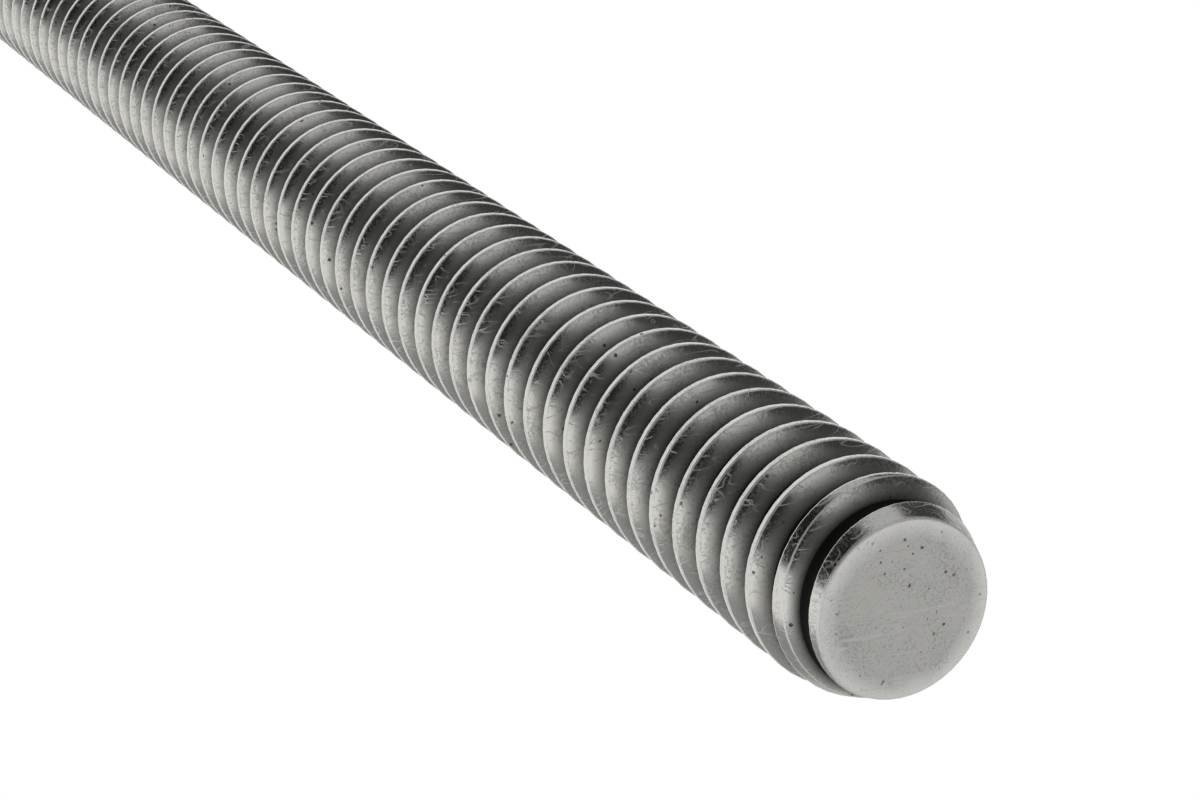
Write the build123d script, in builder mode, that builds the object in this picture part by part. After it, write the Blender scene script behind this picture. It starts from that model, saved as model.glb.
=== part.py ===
"""Threaded rod, number 6 by 32 threads to the inch, cut to four inches and chamfered at both ends.

The rod lies along X with its middle at the origin. Z is up. All sizes are in millimetres.
"""

import math
import os

from build123d import *

# Rod
length = 101.6
major_diameter = 3.44

# Thread: one start, right hand
pitch = 25.4 / 32
thread_depth = 0.325
flank_angle = 30.0
crest_flat = 0.117
first_crest = 0.963  # from the +X end face to the middle of the first whole crest, on top of the rod

# Ends
chamfer_length = 0.95
edge_break = 0.05
toe_step = 0.015  # how far the small end of the chamfer stands above the root of the thread

# The thread is made in blocks of whole turns that stack end to end
block_turns = 4
flank_spans = 12

# Sizes that follow from the ones above
major_radius = major_diameter / 2
root_radius = major_radius - thread_depth
toe_radius = root_radius + toe_step
flank_run = thread_depth * math.tan(math.radians(flank_angle))
crest_turn = 360 * crest_flat / pitch
flank_turn = 360 * flank_run / pitch
block_length = block_turns * pitch
block_count = math.ceil(length / block_length)
start_angle = 90 + 360 * (first_crest - length) / pitch
clear_radius = major_radius + thread_depth
chamfer_slope = (major_radius - toe_radius) / (chamfer_length - edge_break)
clear_run = edge_break + (clear_radius - toe_radius) / chamfer_slope


def on_section(radius: float, turn: float) -> tuple[float, float]:
    """Gives the point of the rod's cross-section at a radius and at a turn, in degrees, from the crest."""
    angle = math.radians(start_angle + turn)
    return (radius * math.cos(angle), radius * math.sin(angle))


# Cut square across, a one-start thread shows one crest arc, one root arc and two spiral flanks
crest_edge = crest_turn / 2
root_edge = crest_edge + flank_turn
rising_flank = [
    on_section(major_radius - thread_depth * i / flank_spans, crest_edge + flank_turn * i / flank_spans)
    for i in range(flank_spans + 1)
]
falling_flank = [
    on_section(major_radius - thread_depth * i / flank_spans, -crest_edge - flank_turn * i / flank_spans)
    for i in range(flank_spans + 1)
]
with BuildSketch(Plane.YZ) as cross_section:
    with BuildLine():
        ThreePointArc(
            on_section(major_radius, -crest_edge),
            on_section(major_radius, 0),
            on_section(major_radius, crest_edge),
        )
        Spline(*rising_flank)
        ThreePointArc(
            on_section(root_radius, root_edge),
            on_section(root_radius, 180),
            on_section(root_radius, -root_edge),
        )
        Spline(*falling_flank)
    make_face()

# That section, carried along the axis while it turns once for each pitch, is the thread itself
thread_block = Solid.extrude_linear_with_rotation(
    cross_section.sketch.faces()[0],
    center=(0, 0, 0),
    normal=(block_length, 0, 0),
    angle=360 * block_turns,
)

with BuildPart() as threaded_rod:
    # Blank: square ends with a broken edge, then the chamfer, which runs on past the crests
    with BuildSketch(Plane.XY):
        with BuildLine():
            Polyline(
                (-length / 2, 0),
                (-length / 2, toe_radius - edge_break),
                (-length / 2 + edge_break, toe_radius),
                (-length / 2 + clear_run, clear_radius),
                (length / 2 - clear_run, clear_radius),
                (length / 2 - edge_break, toe_radius),
                (length / 2, toe_radius - edge_break),
                (length / 2, 0),
                close=True,
            )
        make_face()
    revolve(axis=Axis.X)
    # What the thread and the blank share is the rod
    with BuildPart(mode=Mode.INTERSECT):
        for block in range(block_count):
            add(Pos(-length / 2 + block * block_length, 0, 0) * thread_block)
threaded_rod.part.label = "threaded_rod"

os.makedirs("parts", exist_ok=True)
export_step(threaded_rod.part, "parts/threaded_rod.step")
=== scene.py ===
"""A short length of steel threaded rod, right-hand thread, chamfered at both ends, in a pale studio."""

import logging
import math
from dataclasses import dataclass, field
from enum import Enum

import bpy
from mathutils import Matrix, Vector


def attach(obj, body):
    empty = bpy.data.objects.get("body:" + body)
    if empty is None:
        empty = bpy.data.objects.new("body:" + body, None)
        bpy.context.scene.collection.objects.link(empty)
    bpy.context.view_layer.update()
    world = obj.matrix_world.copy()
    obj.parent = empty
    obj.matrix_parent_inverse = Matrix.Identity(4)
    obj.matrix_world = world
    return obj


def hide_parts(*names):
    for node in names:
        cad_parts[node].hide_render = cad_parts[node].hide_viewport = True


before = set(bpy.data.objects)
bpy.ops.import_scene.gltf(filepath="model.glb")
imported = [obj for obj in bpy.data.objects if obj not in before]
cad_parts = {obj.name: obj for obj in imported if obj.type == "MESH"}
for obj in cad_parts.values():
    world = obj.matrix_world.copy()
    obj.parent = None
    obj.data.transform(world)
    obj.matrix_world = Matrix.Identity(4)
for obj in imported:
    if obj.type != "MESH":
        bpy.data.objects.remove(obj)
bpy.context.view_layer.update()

LOG = logging.getLogger("threaded_rod")
MM = 0.001
MATH = "ShaderNodeMath"


class Shade(Enum):
    """Colours of the steel and the studio, as sRGB hex."""

    CLEAN_STEEL = "#CFCEC9"
    DULL_STEEL = "#B9B8B3"
    # painted shade: near-black laid on the roots and lower flanks, where the grooves fall into shade
    PAINTED_ROOT_SHADE = "#2A2927"
    # painted highlight: near-white laid on the crest edges, the rim's rounding and the end faces' outer
    # rings
    PAINTED_HIGHLIGHT = "#FAF9F6"
    PIT = "#76756F"
    SCRATCH = "#DCDBD7"
    WHITE = "#FFFFFF"


def linear(shade: Shade) -> tuple[float, float, float, float]:
    """Turns an sRGB hex colour to linear light.

    Args:
        shade: the colour to turn.

    Returns:
        Red, green, blue and alpha, each from 0 to 1.
    """
    levels = [int(shade.value[i : i + 2], 16) / 255 for i in (1, 3, 5)]
    return tuple(v / 12.92 if v <= 0.04045 else ((v + 0.055) / 1.055) ** 2.4 for v in levels) + (1.0,)


def add_node(tree: bpy.types.NodeTree, kind: str, *feeds: object, **settings: object) -> bpy.types.Node:
    """Adds a node, sets it up and feeds its inputs.

    Args:
        tree: the tree that gets the node.
        kind: the node's type name.
        feeds: one per input, in order: a value, a socket, a node (its first output), or None to skip.
        settings: the node's own properties.

    Returns:
        The new node.
    """
    node = tree.nodes.new(kind)
    for name, value in settings.items():
        setattr(node, name, value)
    sockets = [s for s in node.inputs if s.enabled or kind == "ShaderNodeBsdfPrincipled"]
    for socket, feed in zip(sockets, feeds):
        if feed is None:
            continue
        if isinstance(feed, bpy.types.Node):
            feed = next(s for s in feed.outputs if s.enabled)
        if isinstance(feed, bpy.types.NodeSocket):
            tree.links.new(feed, socket)
        else:
            socket.default_value = feed
    return node


def blank_material(name: str) -> bpy.types.Material:
    """Makes a material with an empty tree.

    Args:
        name: the material's name.

    Returns:
        The material.
    """
    made = bpy.data.materials.new(name)
    made.use_nodes = True
    made.node_tree.nodes.clear()
    return made


def staged_sheet(name: str, corners: list, paint: bpy.types.Material) -> bpy.types.Object:
    """Makes one flat four-cornered sheet of the studio.

    Args:
        name: the sheet's name.
        corners: its four corners in order.
        paint: its material.

    Returns:
        The sheet.
    """
    mesh = bpy.data.meshes.new(name)
    mesh.from_pydata(corners, [], [(0, 1, 2, 3)])
    mesh.materials.append(paint)
    sheet = bpy.data.objects.new(name, mesh)
    bpy.context.scene.collection.objects.link(sheet)
    return sheet


@dataclass(frozen=True)
class StripPoint:
    """The flat strip that becomes the thread, and where each of its points belongs."""

    strip: bpy.types.Node
    offset: bpy.types.Node
    angle: bpy.types.Node
    end: bpy.types.Node
    crest: bpy.types.Node


@dataclass
class ThreadTree:
    """The geometry tree that winds one profile round the rod and closes both ends."""

    rows: int = 13
    name: str = "wound_thread"
    tree: bpy.types.NodeTree = field(init=False)

    def __post_init__(self) -> None:
        """Makes the empty tree with its named inputs."""
        self.tree = bpy.data.node_groups.new(self.name, "GeometryNodeTree")
        sockets = self.tree.interface
        sockets.new_socket("Geometry", in_out="OUTPUT", socket_type="NodeSocketGeometry")
        for title in (
            "Length",
            "Major Radius",
            "Root Radius",
            "Pitch",
            "Crest Flat",
            "Flank Angle",
            "First Crest",
            "Chamfer Length",
            "Rim Round",
            "Edge Round",
        ):
            sockets.new_socket(title, in_out="INPUT", socket_type="NodeSocketFloat")
        sockets.new_socket("Segments", in_out="INPUT", socket_type="NodeSocketInt")
        sockets.new_socket("Steel", in_out="INPUT", socket_type="NodeSocketMaterial")

    def sockets_by_name(self) -> dict[str, str]:
        """Looks up the tree's inputs.

        Returns:
            Each input's identifier, by its name.
        """
        return {s.name: s.identifier for s in self.tree.interface.items_tree if s.in_out == "INPUT"}

    def edge_place(self, crest: bpy.types.Node, side: int, sizes: dict) -> bpy.types.Node:
        """Gives how far from the end face one edge of the crest lies, where the chamfer may have cut it.

        Args:
            crest: the distance from the end face to the middle of the crest.
            side: 1 for the edge towards the end face, -1 for the other.
            sizes: the sizes worked out from the inputs.

        Returns:
            The node that gives the distance from the end face, never less than that of the rim.
        """
        tree = self.tree
        whole = add_node(tree, MATH, sizes["half_crest"], -side, crest, operation="MULTIPLY_ADD")
        steep = add_node(
            tree,
            MATH,
            sizes["steepness"],
            side,
            add_node(tree, MATH, sizes["slope"], -1.0, operation="MULTIPLY"),
            operation="MULTIPLY_ADD",
        )
        drop = add_node(
            tree,
            MATH,
            add_node(tree, MATH, sizes["steepness"], side, operation="MULTIPLY"),
            whole,
            operation="MULTIPLY",
        )
        level = add_node(tree, MATH, sizes["cone_foot"], sizes["major"], operation="SUBTRACT")
        cut = add_node(
            tree,
            MATH,
            add_node(tree, MATH, level, drop, operation="ADD"),
            steep,
            operation="DIVIDE",
        )
        is_whole = add_node(tree, MATH, whole, sizes["chamfer"], operation="GREATER_THAN")
        place = add_node(self.tree, "ShaderNodeMix", is_whole, cut, whole, data_type="FLOAT")
        return add_node(tree, MATH, place, sizes["rim"], operation="MAXIMUM")

    def top_radius(self, place: bpy.types.Node, sizes: dict) -> bpy.types.Node:
        """Gives the radius of the blank, over the crests or on the chamfer.

        Args:
            place: the distance from the end face.
            sizes: the sizes worked out from the inputs.

        Returns:
            The node that gives the radius.
        """
        tree = self.tree
        on_cone = add_node(tree, MATH, place, sizes["slope"], sizes["cone_foot"], operation="MULTIPLY_ADD")
        return add_node(tree, MATH, on_cone, sizes["major"], operation="MINIMUM")

    def shared_sizes(self, given: dict) -> dict:
        """Works out the sizes that several steps use.

        Args:
            given: the tree's inputs by name.

        Returns:
            Each size by name.
        """
        tree = self.tree
        depth = add_node(tree, MATH, given["Major Radius"], given["Root Radius"], operation="SUBTRACT")
        lean = add_node(tree, MATH, given["Flank Angle"], operation="TANGENT")
        cone_length = add_node(
            tree,
            MATH,
            given["Chamfer Length"],
            given["Rim Round"],
            operation="SUBTRACT",
        )
        slope = add_node(tree, MATH, depth, cone_length, operation="DIVIDE")
        rim_rise = add_node(tree, MATH, slope, given["Rim Round"], operation="MULTIPLY")
        return {
            "half_length": add_node(tree, MATH, given["Length"], 0.5, operation="MULTIPLY"),
            "major": given["Major Radius"],
            "root": given["Root Radius"],
            "chamfer": given["Chamfer Length"],
            "rim": given["Rim Round"],
            "round": given["Edge Round"],
            "half_crest": add_node(tree, MATH, given["Crest Flat"], 0.5, operation="MULTIPLY"),
            "half_pitch": add_node(tree, MATH, given["Pitch"], 0.5, operation="MULTIPLY"),
            "run": add_node(tree, MATH, depth, lean, operation="MULTIPLY"),
            "steepness": add_node(tree, MATH, 1.0, lean, operation="DIVIDE"),
            "slope": slope,
            "cone_foot": add_node(tree, MATH, given["Root Radius"], rim_rise, operation="SUBTRACT"),
        }

    def lay_strip(self, given: dict, sizes: dict) -> "StripPoint":
        """Lays a flat strip, one column for each segment of each turn, from end to end and a little past.

        Args:
            given: the tree's inputs by name.
            sizes: the shared sizes.

        Returns:
            The strip, and where each of its points belongs.
        """
        tree = self.tree
        turns = add_node(tree, MATH, given["Length"], given["Pitch"], operation="DIVIDE")
        turns_back = add_node(
            tree,
            MATH,
            add_node(tree, MATH, turns, operation="CEIL"),
            1.0,
            operation="ADD",
        )
        columns = add_node(
            tree,
            MATH,
            add_node(tree, MATH, turns_back, 3.0, operation="ADD"),
            given["Segments"],
            1.0,
            operation="MULTIPLY_ADD",
        )
        strip = add_node(tree, "GeometryNodeMeshGrid", 1.0, 1.0, columns, self.rows)
        index = add_node(tree, "GeometryNodeInputIndex")
        middle_index = add_node(tree, MATH, index, 0.5, operation="ADD")
        column = add_node(
            tree,
            MATH,
            add_node(tree, MATH, middle_index, float(self.rows), operation="DIVIDE"),
            operation="FLOOR",
        )
        row = add_node(
            tree,
            MATH,
            index,
            add_node(tree, MATH, column, float(self.rows), operation="MULTIPLY"),
            operation="SUBTRACT",
        )
        turn = add_node(
            tree,
            MATH,
            add_node(tree, MATH, column, given["Segments"], operation="DIVIDE"),
            turns_back,
            operation="SUBTRACT",
        )
        first = add_node(tree, MATH, sizes["half_length"], given["First Crest"], operation="SUBTRACT")
        crest_along = add_node(tree, MATH, turn, given["Pitch"], first, operation="MULTIPLY_ADD")
        end = add_node(tree, MATH, crest_along, operation="SIGN")
        from_middle = add_node(tree, MATH, end, crest_along, operation="MULTIPLY")
        return StripPoint(
            strip=strip,
            offset=add_node(tree, MATH, row, (self.rows - 1) / 2, operation="SUBTRACT"),
            angle=add_node(tree, MATH, turn, math.tau, operation="MULTIPLY"),
            end=end,
            crest=add_node(tree, MATH, sizes["half_length"], from_middle, operation="SUBTRACT"),
        )

    def corners(self, point: "StripPoint", sizes: dict) -> tuple[bpy.types.Node, ...]:
        """Places the profile's corners as distance from the end face and radius.

        Args:
            point: where each point of the strip belongs.
            sizes: the shared sizes.

        Returns:
            The nodes for the crest's middle, its edge, the flank's foot and the root's middle.
        """
        tree = self.tree
        side = add_node(
            tree,
            MATH,
            add_node(tree, MATH, point.offset, operation="SIGN"),
            point.end,
            operation="MULTIPLY",
        )
        near_edge = self.edge_place(point.crest, 1, sizes)
        far_edge = self.edge_place(point.crest, -1, sizes)
        crest_width = add_node(tree, MATH, far_edge, near_edge, operation="SUBTRACT")
        lowest = add_node(tree, MATH, crest_width, 0.3, near_edge, operation="MULTIPLY_ADD")
        highest = add_node(tree, MATH, crest_width, -0.3, far_edge, operation="MULTIPLY_ADD")
        top = add_node(
            tree,
            MATH,
            add_node(tree, MATH, sizes["chamfer"], lowest, operation="MAXIMUM"),
            highest,
            operation="MINIMUM",
        )
        is_near = add_node(tree, MATH, side, 0.0, operation="GREATER_THAN")
        edge = add_node(tree, "ShaderNodeMix", is_near, far_edge, near_edge, data_type="FLOAT")
        reach = add_node(tree, MATH, sizes["half_crest"], sizes["run"], operation="ADD")
        foot = add_node(
            tree,
            MATH,
            point.crest,
            add_node(tree, MATH, side, reach, operation="MULTIPLY"),
            operation="SUBTRACT",
        )
        foot = add_node(tree, MATH, foot, sizes["rim"], operation="MAXIMUM")
        root = add_node(
            tree,
            MATH,
            point.crest,
            add_node(tree, MATH, side, sizes["half_pitch"], operation="MULTIPLY"),
            operation="SUBTRACT",
        )
        root = add_node(tree, MATH, root, sizes["rim"], operation="MAXIMUM")
        return (
            add_node(tree, "ShaderNodeCombineXYZ", top, self.top_radius(top, sizes)),
            add_node(tree, "ShaderNodeCombineXYZ", edge, self.top_radius(edge, sizes)),
            add_node(tree, "ShaderNodeCombineXYZ", foot, sizes["root"]),
            add_node(tree, "ShaderNodeCombineXYZ", root, sizes["root"]),
        )

    def stations(self, corners: tuple[bpy.types.Node, ...], sizes: dict) -> tuple[tuple, ...]:
        """Eases both corners of the profile, by the same small length along each of their sides.

        Args:
            corners: the crest's middle, its edge, the flank's foot and the root's middle.
            sizes: the shared sizes.

        Returns:
            Each place from the crest's middle to the root's, with the mark that the steel reads there.
        """
        tree = self.tree
        top, edge, foot, root = corners
        eased = []
        for here, there in ((edge, top), (edge, foot), (foot, edge), (foot, root)):
            apart = add_node(tree, "ShaderNodeVectorMath", here, there, operation="DISTANCE")
            safe = add_node(tree, MATH, apart.outputs["Value"], 1e-07, operation="MAXIMUM")
            share = add_node(
                tree,
                MATH,
                add_node(tree, MATH, sizes["round"], safe, operation="DIVIDE"),
                0.4,
                operation="MINIMUM",
            )
            moved = add_node(tree, "ShaderNodeMix", share, here, there, data_type="VECTOR")
            eased.append(moved.outputs[1])
        chord = add_node(tree, "ShaderNodeMix", 0.5, eased[0], eased[1], data_type="VECTOR")
        nose = add_node(tree, "ShaderNodeMix", 0.54, edge, chord.outputs[1], data_type="VECTOR")
        return (
            (top.outputs[0], 0.0),
            (eased[0], 0.9),
            (nose.outputs[1], 1.0),
            (eased[1], 1.1),
            (eased[2], 1.9),
            (eased[3], 2.1),
            (root.outputs[0], 3.0),
        )

    def wind(self, point: "StripPoint", stations: tuple[tuple, ...], sizes: dict) -> bpy.types.Node:
        """Winds the strip round the axis, each of its rows on its own station.

        Args:
            point: where each point of the strip belongs.
            stations: the places across the profile, with their marks.
            sizes: the shared sizes.

        Returns:
            The node that gives the thread, with the marks stored on it.
        """
        tree = self.tree
        step = add_node(tree, MATH, point.offset, operation="ABSOLUTE")
        place = add_node(tree, "GeometryNodeIndexSwitch", data_type="VECTOR")
        profile = add_node(tree, "GeometryNodeIndexSwitch", data_type="FLOAT")
        for switch in (place, profile):
            while len(switch.index_switch_items) < len(stations):
                switch.index_switch_items.new()
            tree.links.new(step.outputs[0], switch.inputs[0])
        for number, (socket, mark) in enumerate(stations, start=1):
            tree.links.new(socket, place.inputs[number])
            profile.inputs[number].default_value = mark
        parts = add_node(tree, "ShaderNodeSeparateXYZ", place)
        inwards = add_node(tree, MATH, sizes["half_length"], parts.outputs[0], operation="SUBTRACT")
        along = add_node(tree, MATH, point.end, inwards, operation="MULTIPLY")
        across = add_node(
            tree,
            MATH,
            parts.outputs[1],
            add_node(tree, MATH, point.angle, operation="SINE"),
            operation="MULTIPLY",
        )
        across = add_node(tree, MATH, across, -1.0, operation="MULTIPLY")
        up = add_node(
            tree,
            MATH,
            parts.outputs[1],
            add_node(tree, MATH, point.angle, operation="COSINE"),
            operation="MULTIPLY",
        )
        wound = add_node(tree, "ShaderNodeCombineXYZ", along, across, up)
        thread = add_node(tree, "GeometryNodeSetPosition", point.strip, None, wound)
        # the profile mark places the steel's painted highlight on the crest edges and its painted shade in
        # the roots
        return add_node(
            tree,
            "GeometryNodeStoreNamedAttribute",
            thread,
            None,
            "profile",
            profile,
            data_type="FLOAT",
            domain="POINT",
        )

    def build(self) -> bpy.types.NodeTree:
        """Fills the tree, step by step.

        Returns:
            The finished tree.
        """
        tree = self.tree
        given = {s.name: s for s in add_node(tree, "NodeGroupInput").outputs if s.name}
        sizes = self.shared_sizes(given)
        point = self.lay_strip(given, sizes)
        thread = self.wind(point, self.stations(self.corners(point, sizes), sizes), sizes)
        cap = self.cap(given, sizes["half_length"])
        turned = add_node(tree, "GeometryNodeTransform", cap, None, (0.0, 0.0, math.pi))
        joined = add_node(tree, "GeometryNodeJoinGeometry")
        for piece in (turned, cap, thread):
            tree.links.new(piece.outputs[0], joined.inputs[0])
        welded = add_node(tree, "GeometryNodeMergeByDistance", joined)
        welded.inputs["Distance"].default_value = 1e-6
        smooth = add_node(tree, "GeometryNodeSetShadeSmooth", welded)
        real = add_node(tree, "GeometryNodeRealizeInstances", smooth)
        steel = add_node(tree, "GeometryNodeSetMaterial", real, None, given["Steel"])
        add_node(tree, "NodeGroupOutput", steel)
        return tree

    def cap(self, given: dict, half_length: bpy.types.Node) -> bpy.types.Node:
        """Adds the rounded rim and flat face of the +X end.

        Args:
            given: the tree's inputs by name.
            half_length: half the rod's length.

        Returns:
            The node that gives the cap.
        """
        tree = self.tree
        # Each ring: share of the rim's round along the axis, the same inwards, share of the face's radius
        turns = [math.radians(a) for a in range(0, 91, 15)]
        rings = [(1 - math.sin(a), 1 - math.cos(a), 1.0) for a in turns]
        rings += [(0.0, 1.0, share) for share in (0.97, 0.85, 0.6, 0.3, 0.0)]
        columns = add_node(tree, MATH, given["Segments"], 1.0, operation="ADD")
        disc = add_node(tree, "GeometryNodeMeshGrid", 1.0, 1.0, columns, len(rings))
        index = add_node(tree, "GeometryNodeInputIndex")
        column = add_node(
            tree,
            MATH,
            add_node(
                tree,
                MATH,
                add_node(tree, MATH, index, 0.5, operation="ADD"),
                float(len(rings)),
                operation="DIVIDE",
            ),
            operation="FLOOR",
        )
        row = add_node(
            tree,
            MATH,
            index,
            add_node(tree, MATH, column, float(len(rings)), operation="MULTIPLY"),
            operation="SUBTRACT",
        )
        ring = add_node(tree, "GeometryNodeIndexSwitch", data_type="VECTOR")
        while len(ring.index_switch_items) < len(rings):
            ring.index_switch_items.new()
        tree.links.new(row.outputs[0], ring.inputs[0])
        for socket, value in zip(ring.inputs[1:], rings):
            socket.default_value = value
        parts = add_node(tree, "ShaderNodeSeparateXYZ", ring)
        back = add_node(tree, MATH, given["Rim Round"], parts.outputs[0], operation="MULTIPLY")
        inwards = add_node(tree, MATH, given["Rim Round"], parts.outputs[1], operation="MULTIPLY")
        radius = add_node(
            tree,
            MATH,
            add_node(tree, MATH, given["Root Radius"], inwards, operation="SUBTRACT"),
            parts.outputs[2],
            operation="MULTIPLY",
        )
        angle = add_node(
            tree,
            MATH,
            add_node(tree, MATH, column, given["Segments"], operation="DIVIDE"),
            math.tau,
            operation="MULTIPLY",
        )
        wound = add_node(
            tree,
            "ShaderNodeCombineXYZ",
            add_node(tree, MATH, half_length, back, operation="SUBTRACT"),
            add_node(
                tree,
                MATH,
                add_node(
                    tree,
                    MATH,
                    radius,
                    add_node(tree, MATH, angle, operation="SINE"),
                    operation="MULTIPLY",
                ),
                -1.0,
                operation="MULTIPLY",
            ),
            add_node(
                tree,
                MATH,
                radius,
                add_node(tree, MATH, angle, operation="COSINE"),
                operation="MULTIPLY",
            ),
        )
        placed = add_node(tree, "GeometryNodeSetPosition", disc, None, wound)
        on_rim = add_node(tree, MATH, parts.outputs[2], 0.99, operation="GREATER_THAN")
        # the rim's rounding is marked as a crest edge, so it gets the painted edge highlight
        return add_node(
            tree,
            "GeometryNodeStoreNamedAttribute",
            placed,
            None,
            "profile",
            on_rim,
            data_type="FLOAT",
            domain="POINT",
        )


@dataclass(frozen=True)
class TurnedSteel:
    """Plain low-carbon steel, cut and rolled, handled and stored: dull grey, mottled, scratched and pitted.

    Smooth metal shows the studio softly. A thin film dulls it in patches, so lit parts carry dark flecks and
    dark parts carry pale ones. Edges and end rims get a painted highlight, and the roots a painted
    near-black shade.
    """

    name: str = "plain_turned_steel"
    mottle_mm: float = 0.7
    fleck_mm: float = 0.045
    scratch_mm: float = 0.5
    hair_mm: float = 0.9
    pit_mm: float = 0.15
    clean_roughness: float = 0.2
    film_roughness: float = 0.38
    relief_mm: float = 0.003
    face_mm: float = 50.8

    def film(self, tree: bpy.types.NodeTree, mm: bpy.types.Node) -> bpy.types.Node:
        """Adds the dull film, which lies in patches broken into fine flecks.

        Args:
            tree: the material's tree.
            mm: the place on the rod, in millimetres.

        Returns:
            The node that gives the film's strength, from 0 to 1.
        """
        patches = add_node(tree, "ShaderNodeTexNoise", mm, 1 / self.mottle_mm, 3.0, 0.6)
        flecks = add_node(tree, "ShaderNodeTexNoise", mm, 1 / self.fleck_mm, 5.0, 0.65)
        both = add_node(tree, MATH, patches, 0.55, flecks, operation="MULTIPLY_ADD")
        return add_node(tree, "ShaderNodeMapRange", both, 0.77, 0.94, 0.0, 1.0)

    def scratches(self, tree: bpy.types.NodeTree, mm: bpy.types.Node) -> bpy.types.Node:
        """Adds short straight scratches in three directions and fine curved hairlines.

        Args:
            tree: the material's tree.
            mm: the place on the rod, in millimetres.

        Returns:
            The node that gives the scratches, from 0 to 1.
        """
        found = None
        for turn, thin in (((0.4, 0.9, 0.2), 0.008), ((1.3, 0.2, 1.1), 0.007), ((2.2, 1.9, 0.6), 0.007)):
            laid = add_node(tree, "ShaderNodeMapping", mm, (3.1, 0.0, 7.7), turn, (1.0, 0.1, 1.0))
            lines = add_node(tree, "ShaderNodeTexNoise", laid, 1 / self.scratch_mm, 2.0, 0.5)
            broken = add_node(tree, "ShaderNodeTexNoise", laid, 2.6 / self.scratch_mm, 1.0, 0.5)
            found = self.thin_lines(tree, lines, broken, thin, 0.5, found)
        hairs = add_node(tree, "ShaderNodeTexNoise", mm, 1 / self.hair_mm, 3.0, 0.55)
        gaps = add_node(tree, "ShaderNodeTexNoise", mm, 2.2 / self.hair_mm, 1.0, 0.5)
        return self.thin_lines(tree, hairs, gaps, 0.0035, 0.5, found)

    def thin_lines(
        self,
        tree: bpy.types.NodeTree,
        field_of: bpy.types.Node,
        gaps: bpy.types.Node,
        thin: float,
        rare: float,
        under: bpy.types.Node | None,
    ) -> bpy.types.Node:
        """Draws the level lines of one noise, broken up by another, over what is there.

        Args:
            tree: the material's tree.
            field_of: the noise whose middle level makes the lines.
            gaps: the noise that breaks them.
            thin: half the lines' width, in levels.
            rare: the level of gaps above which lines show.
            under: the lines already drawn, if any.

        Returns:
            The node that gives all the lines, from 0 to 1.
        """
        level = add_node(tree, MATH, field_of, 0.5, operation="SUBTRACT")
        level = add_node(tree, MATH, level, operation="ABSOLUTE")
        line = add_node(tree, "ShaderNodeMapRange", level, thin * 0.4, thin, 1.0, 0.0)
        shown = add_node(tree, "ShaderNodeMapRange", gaps, rare, rare + 0.05, 0.0, 1.0)
        drawn = add_node(tree, MATH, line, shown, operation="MULTIPLY")
        if under is None:
            return drawn
        return add_node(tree, MATH, drawn, under, operation="MAXIMUM")

    def pits(self, tree: bpy.types.NodeTree, mm: bpy.types.Node) -> bpy.types.Node:
        """Adds small dark pits, in about a fifth of the cells of a random mosaic.

        Args:
            tree: the material's tree.
            mm: the place on the rod, in millimetres.

        Returns:
            The node that gives the pits, from 0 to 1.
        """
        ragged = add_node(tree, "ShaderNodeTexNoise", mm, 4 / self.pit_mm, 2.0, 0.5)
        ragged = add_node(tree, "ShaderNodeVectorMath", ragged.outputs["Color"], operation="SCALE")
        ragged.inputs["Scale"].default_value = 0.05
        bent = add_node(tree, "ShaderNodeVectorMath", mm, ragged, operation="ADD")
        cells = add_node(tree, "ShaderNodeTexVoronoi", bent, 1 / self.pit_mm)
        lot = add_node(tree, "ShaderNodeSeparateColor", cells.outputs["Color"])
        size = add_node(tree, "ShaderNodeMapRange", lot, 0.8, 1.0, 0.0, 0.28)
        inside = add_node(tree, MATH, size, cells.outputs["Distance"], operation="SUBTRACT")
        return add_node(tree, "ShaderNodeMapRange", inside, 0.0, 0.06, 0.0, 1.0)

    def painted_rim_highlight(self, tree: bpy.types.NodeTree, mm: bpy.types.Node) -> bpy.types.Node:
        """Marks the outer ring of each end face, which gets a painted highlight, brighter towards the rim.

        Args:
            tree: the material's tree.
            mm: the place on the rod, in millimetres.

        Returns:
            The node that gives the ring, from 0 to 1.
        """
        parts = add_node(tree, "ShaderNodeSeparateXYZ", mm)
        along = add_node(tree, MATH, parts.outputs["X"], operation="ABSOLUTE")
        on_face = add_node(tree, MATH, along, self.face_mm - 0.01, operation="GREATER_THAN")
        flat = add_node(tree, "ShaderNodeCombineXYZ", None, parts.outputs["Y"], parts.outputs["Z"])
        radius = add_node(tree, "ShaderNodeVectorMath", flat, operation="LENGTH").outputs["Value"]
        blur = add_node(tree, "ShaderNodeTexNoise", mm, 2.5, 2.0, 0.5)
        reach = add_node(tree, MATH, blur, 0.2, radius, operation="MULTIPLY_ADD")
        # painted highlight, growing towards the face's rim
        ring = add_node(tree, "ShaderNodeMapRange", reach, 1.16, 1.44, 0.0, 0.85)
        return add_node(tree, MATH, ring, on_face, operation="MULTIPLY")

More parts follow.
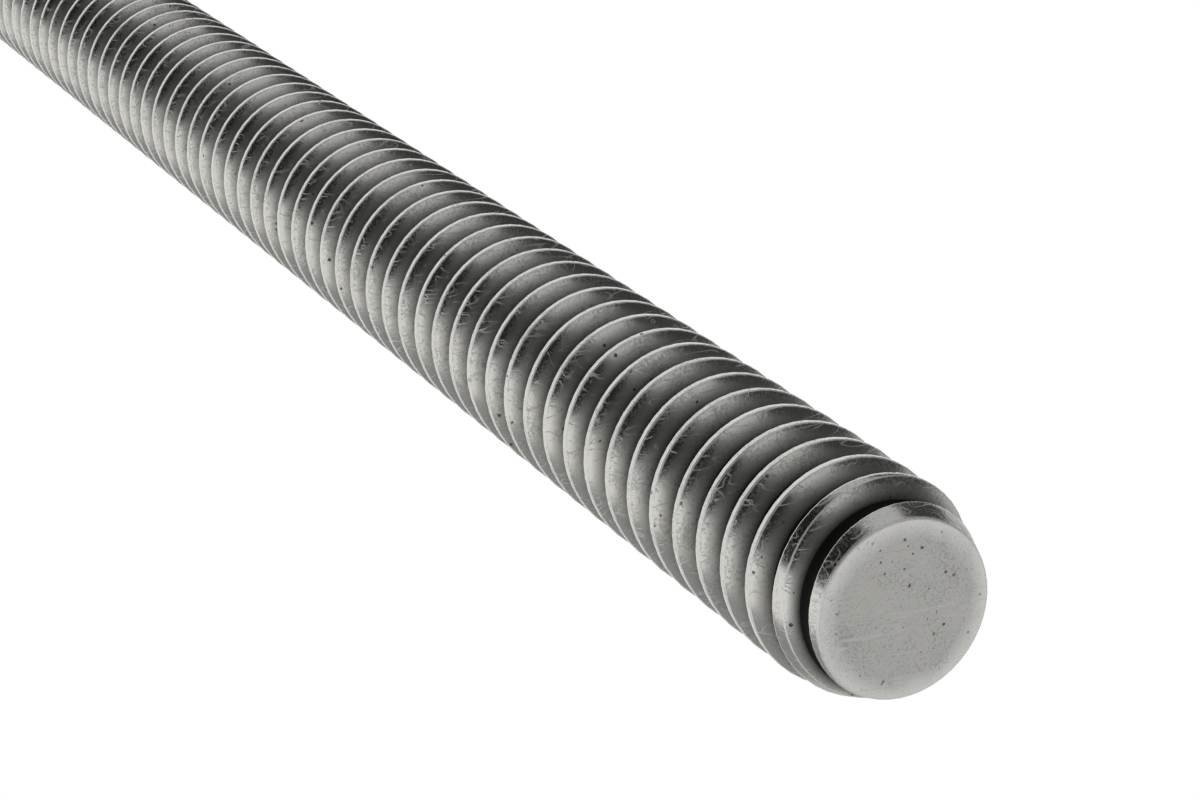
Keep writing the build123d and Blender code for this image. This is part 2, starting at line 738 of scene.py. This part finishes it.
    def masks(self, tree: bpy.types.NodeTree) -> dict[str, bpy.types.Node]:
        """Finds where each kind of wear lies, and where the painted highlights and the painted root shade
        lie.

        Args:
            tree: the material's tree.

        Returns:
            The node for each kind by name, from 0 to 1.
        """
        place = add_node(tree, "ShaderNodeTexCoord").outputs["Object"]
        mm = add_node(tree, "ShaderNodeMapping", place, None, None, (1 / MM, 1 / MM, 1 / MM))
        profile = add_node(tree, "ShaderNodeAttribute", attribute_name="profile").outputs["Fac"]
        from_edge = add_node(
            tree,
            MATH,
            add_node(tree, MATH, profile, 1.0, operation="SUBTRACT"),
            operation="ABSOLUTE",
        )
        return {
            # painted highlight along the crest edges and the rim's rounding
            "edge": add_node(tree, "ShaderNodeMapRange", from_edge, 0.05, 0.11, 1.0, 0.0),
            # painted shade in the roots and on the lower flanks
            "root_shade": add_node(tree, "ShaderNodeMapRange", profile, 1.2, 2.0, 0.0, 1.0),
            # painted highlight on the end faces' outer rings
            "rim_highlight": self.painted_rim_highlight(tree, mm),
            "film": self.film(tree, mm),
            "scratches": self.scratches(tree, mm),
            "pits": self.pits(tree, mm),
        }

    def colour(self, tree: bpy.types.NodeTree, masks: dict[str, bpy.types.Node]) -> bpy.types.NodeSocket:
        """Lays each kind of wear's colour, the painted highlights and the painted root shade over the clean
        steel.

        Args:
            tree: the material's tree.
            masks: where each kind of wear lies.

        Returns:
            The socket that gives the colour.
        """
        below = linear(Shade.CLEAN_STEEL)
        for kind, shade in (
            ("film", Shade.DULL_STEEL),
            ("scratches", Shade.SCRATCH),
            ("pits", Shade.PIT),
            # painted shade in the roots
            ("root_shade", Shade.PAINTED_ROOT_SHADE),
            # painted highlight on the crest edges and the rim's rounding
            ("edge", Shade.PAINTED_HIGHLIGHT),
            # painted highlight on the end faces' outer rings
            ("rim_highlight", Shade.PAINTED_HIGHLIGHT),
        ):
            mixed = add_node(tree, "ShaderNodeMix", masks[kind], below, linear(shade), data_type="RGBA")
            below = mixed.outputs[2]
        return below

    def roughness(self, tree: bpy.types.NodeTree, masks: dict[str, bpy.types.Node]) -> bpy.types.Node:
        """Sets how far each kind of wear, the painted root shade and the painted edge highlight blur what
        the steel shows.

        Args:
            tree: the material's tree.
            masks: where each kind of wear lies.

        Returns:
            The node that gives the roughness.
        """
        clean, dull = self.clean_roughness, self.film_roughness
        rough = add_node(tree, "ShaderNodeMapRange", masks["film"], 0.0, 1.0, clean, dull)
        for kind, level in (("scratches", 0.45), ("pits", 0.6), ("root_shade", 0.7), ("edge", 0.6)):
            rough = add_node(tree, "ShaderNodeMix", masks[kind], rough, level, data_type="FLOAT")
        return rough

    def make(self) -> bpy.types.Material:
        """Builds the material.

        Returns:
            The material.
        """
        steel = blank_material(self.name)
        tree = steel.node_tree
        masks = self.masks(tree)
        relief = add_node(tree, MATH, masks["film"], 0.35, operation="MULTIPLY")
        relief = add_node(tree, MATH, relief, masks["scratches"], operation="SUBTRACT")
        relief = add_node(tree, MATH, relief, masks["pits"], operation="SUBTRACT")
        bump = add_node(tree, "ShaderNodeBump", 0.5, self.relief_mm * MM, None, relief)
        colour = self.colour(tree, masks)
        shader = add_node(tree, "ShaderNodeBsdfPrincipled", colour, 1.0, self.roughness(tree, masks))
        tree.links.new(bump.outputs[0], shader.inputs["Normal"])
        add_node(tree, "ShaderNodeOutputMaterial", shader)
        return steel


@dataclass
class Rod:
    """The threaded rod: its sizes in metres, and how it is made and dressed."""

    length: float = 101.6 * MM
    major_diameter: float = 3.44 * MM
    pitch: float = 25.4 / 32 * MM
    thread_depth: float = 0.325 * MM
    flank_angle: float = math.radians(30)
    crest_flat: float = 0.117 * MM
    first_crest: float = 0.963 * MM
    chamfer_length: float = 0.95 * MM
    rim_round: float = 0.035 * MM
    edge_round: float = 0.018 * MM
    segments: int = 48
    finish: TurnedSteel = field(default_factory=TurnedSteel)

    def build(self) -> bpy.types.Object:
        """Winds the thread and welds it into one closed mesh.

        Returns:
            The rod.
        """
        tree = ThreadTree()
        tree.build()
        seed = bpy.data.objects.new("thread_seed", bpy.data.meshes.new("thread_seed"))
        bpy.context.scene.collection.objects.link(seed)
        winding = seed.modifiers.new("winding", "NODES")
        winding.node_group = tree.tree
        named = tree.sockets_by_name()
        for title, value in {
            "Length": self.length,
            "Major Radius": self.major_diameter / 2,
            "Root Radius": self.major_diameter / 2 - self.thread_depth,
            "Pitch": self.pitch,
            "Crest Flat": self.crest_flat,
            "Flank Angle": self.flank_angle,
            "First Crest": self.first_crest,
            "Chamfer Length": self.chamfer_length,
            "Rim Round": self.rim_round,
            "Edge Round": self.edge_round,
            "Segments": self.segments,
            "Steel": self.finish.make(),
        }.items():
            winding[named[title]] = value
        weighted = seed.modifiers.new("even_normals", "WEIGHTED_NORMAL")
        weighted.weight = 100
        bpy.context.view_layer.update()
        ready = seed.evaluated_get(bpy.context.evaluated_depsgraph_get())
        mesh = bpy.data.meshes.new_from_object(ready)
        mesh.name = "rod"
        rod = bpy.data.objects.new("rod", mesh)
        bpy.context.scene.collection.objects.link(rod)
        bpy.data.objects.remove(seed)
        return rod


@dataclass(frozen=True)
class Card:
    """A long card beside the rod that only the metal sees, between two bearings about the rod's axis."""

    name: str
    start: float
    stop: float
    level: float

    def build(self, reach: float, near: float, far: float) -> bpy.types.Object:
        """Makes the card, tangent to a tube round the rod.

        Args:
            reach: the tube's radius.
            near: where the card starts along the rod.
            far: where it ends.

        Returns:
            The card.
        """
        middle = math.radians((self.start + self.stop) / 2)
        half = reach * math.tan(math.radians((self.stop - self.start) / 2))
        out = Vector((0.0, math.sin(middle), math.cos(middle)))
        along = Vector((0.0, math.cos(middle), -math.sin(middle)))
        corners = [
            Vector((x, 0, 0)) + out * reach + along * y
            for x, y in ((near, -half), (far, -half), (far, half), (near, half))
        ]
        # Even light of one plain level, so that the metal shows a clean soft-edged band
        paint = blank_material(self.name)
        glow = add_node(paint.node_tree, "ShaderNodeEmission", (self.level,) * 3 + (1.0,), 1.0)
        add_node(paint.node_tree, "ShaderNodeOutputMaterial", glow)
        card = staged_sheet(self.name, corners, paint)
        card.visible_camera = False
        card.visible_diffuse = False
        card.visible_shadow = False
        card.visible_transmission = False
        return card


@dataclass
class Studio:
    """The pale floor, the soft white air that lights all, the cards that shade the steel, and the camera."""

    floor_drop: float = 1.3
    floor_half: float = 20.0
    card_reach: float = 1.0
    card_near: float = -1.0
    card_far: float = 8.0
    camera_place: tuple[float, float, float] = (88.255 * MM, -22.281 * MM, 18.903 * MM)
    camera_aim: tuple[float, float, float] = (-0.8517, 0.3980, -0.3409)
    lens: float = 99.5
    cards: tuple[Card, ...] = (
        Card("shade_near", -78, -10, 0.015),
        Card("grey_above", -10, 30, 0.6),
        Card("shade_far", 30, 78, 0.05),
        Card("grey_far", 78, 135, 0.58),
        Card("grey_below_far", 135, 180, 0.55),
        Card("grey_below", 180, 236, 0.36),
    )

    def build(self) -> None:
        """Sets the whole stage."""
        world = bpy.data.worlds.new("studio_air")
        bpy.context.scene.world = world
        world.use_nodes = True
        world.node_tree.nodes.clear()
        air = add_node(world.node_tree, "ShaderNodeBackground", linear(Shade.WHITE), 1.0)
        add_node(world.node_tree, "ShaderNodeOutputWorld", air)
        self.build_floor()
        for card in self.cards:
            card.build(self.card_reach, self.card_near, self.card_far)
            LOG.info("card %s, level %.2f", card.name, card.level)
        self.build_camera()
        bpy.context.scene.view_settings.view_transform = "Standard"
        LOG.info("floor, air and camera set")

    def build_floor(self) -> None:
        """Lays the pale floor below the rod, which is held clear of it."""
        half, level = self.floor_half, -self.floor_drop
        corners = [(-half, -half, level), (half, -half, level), (half, half, level), (-half, half, level)]
        # Matt white paper, which gives the eye a plain pale ground with no edge
        paint = blank_material("matt_white_paper")
        shader = add_node(paint.node_tree, "ShaderNodeBsdfDiffuse", linear(Shade.WHITE))
        add_node(paint.node_tree, "ShaderNodeOutputMaterial", shader)
        staged_sheet("floor", corners, paint)

    def build_camera(self) -> None:
        """Places the camera, near the rod's +X end and above it."""
        data = bpy.data.cameras.new("camera")
        data.lens = self.lens
        data.sensor_width = 36.0
        data.clip_start = 0.0005
        data.clip_end = 100.0
        camera = bpy.data.objects.new("camera", data)
        camera.location = self.camera_place
        camera.rotation_euler = Vector(self.camera_aim).to_track_quat("-Z", "Y").to_euler()
        bpy.context.scene.collection.objects.link(camera)
        bpy.context.scene.camera = camera


def main() -> None:
    """Builds the rod and its studio."""
    logging.basicConfig(level=logging.INFO, format="%(message)s")
    rod = Rod().build()
    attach(rod, "root")
    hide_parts("threaded_rod")
    LOG.info("%s: %d faces", rod.name, len(rod.data.polygons))
    Studio().build()


if __name__ == "__main__":
    main()
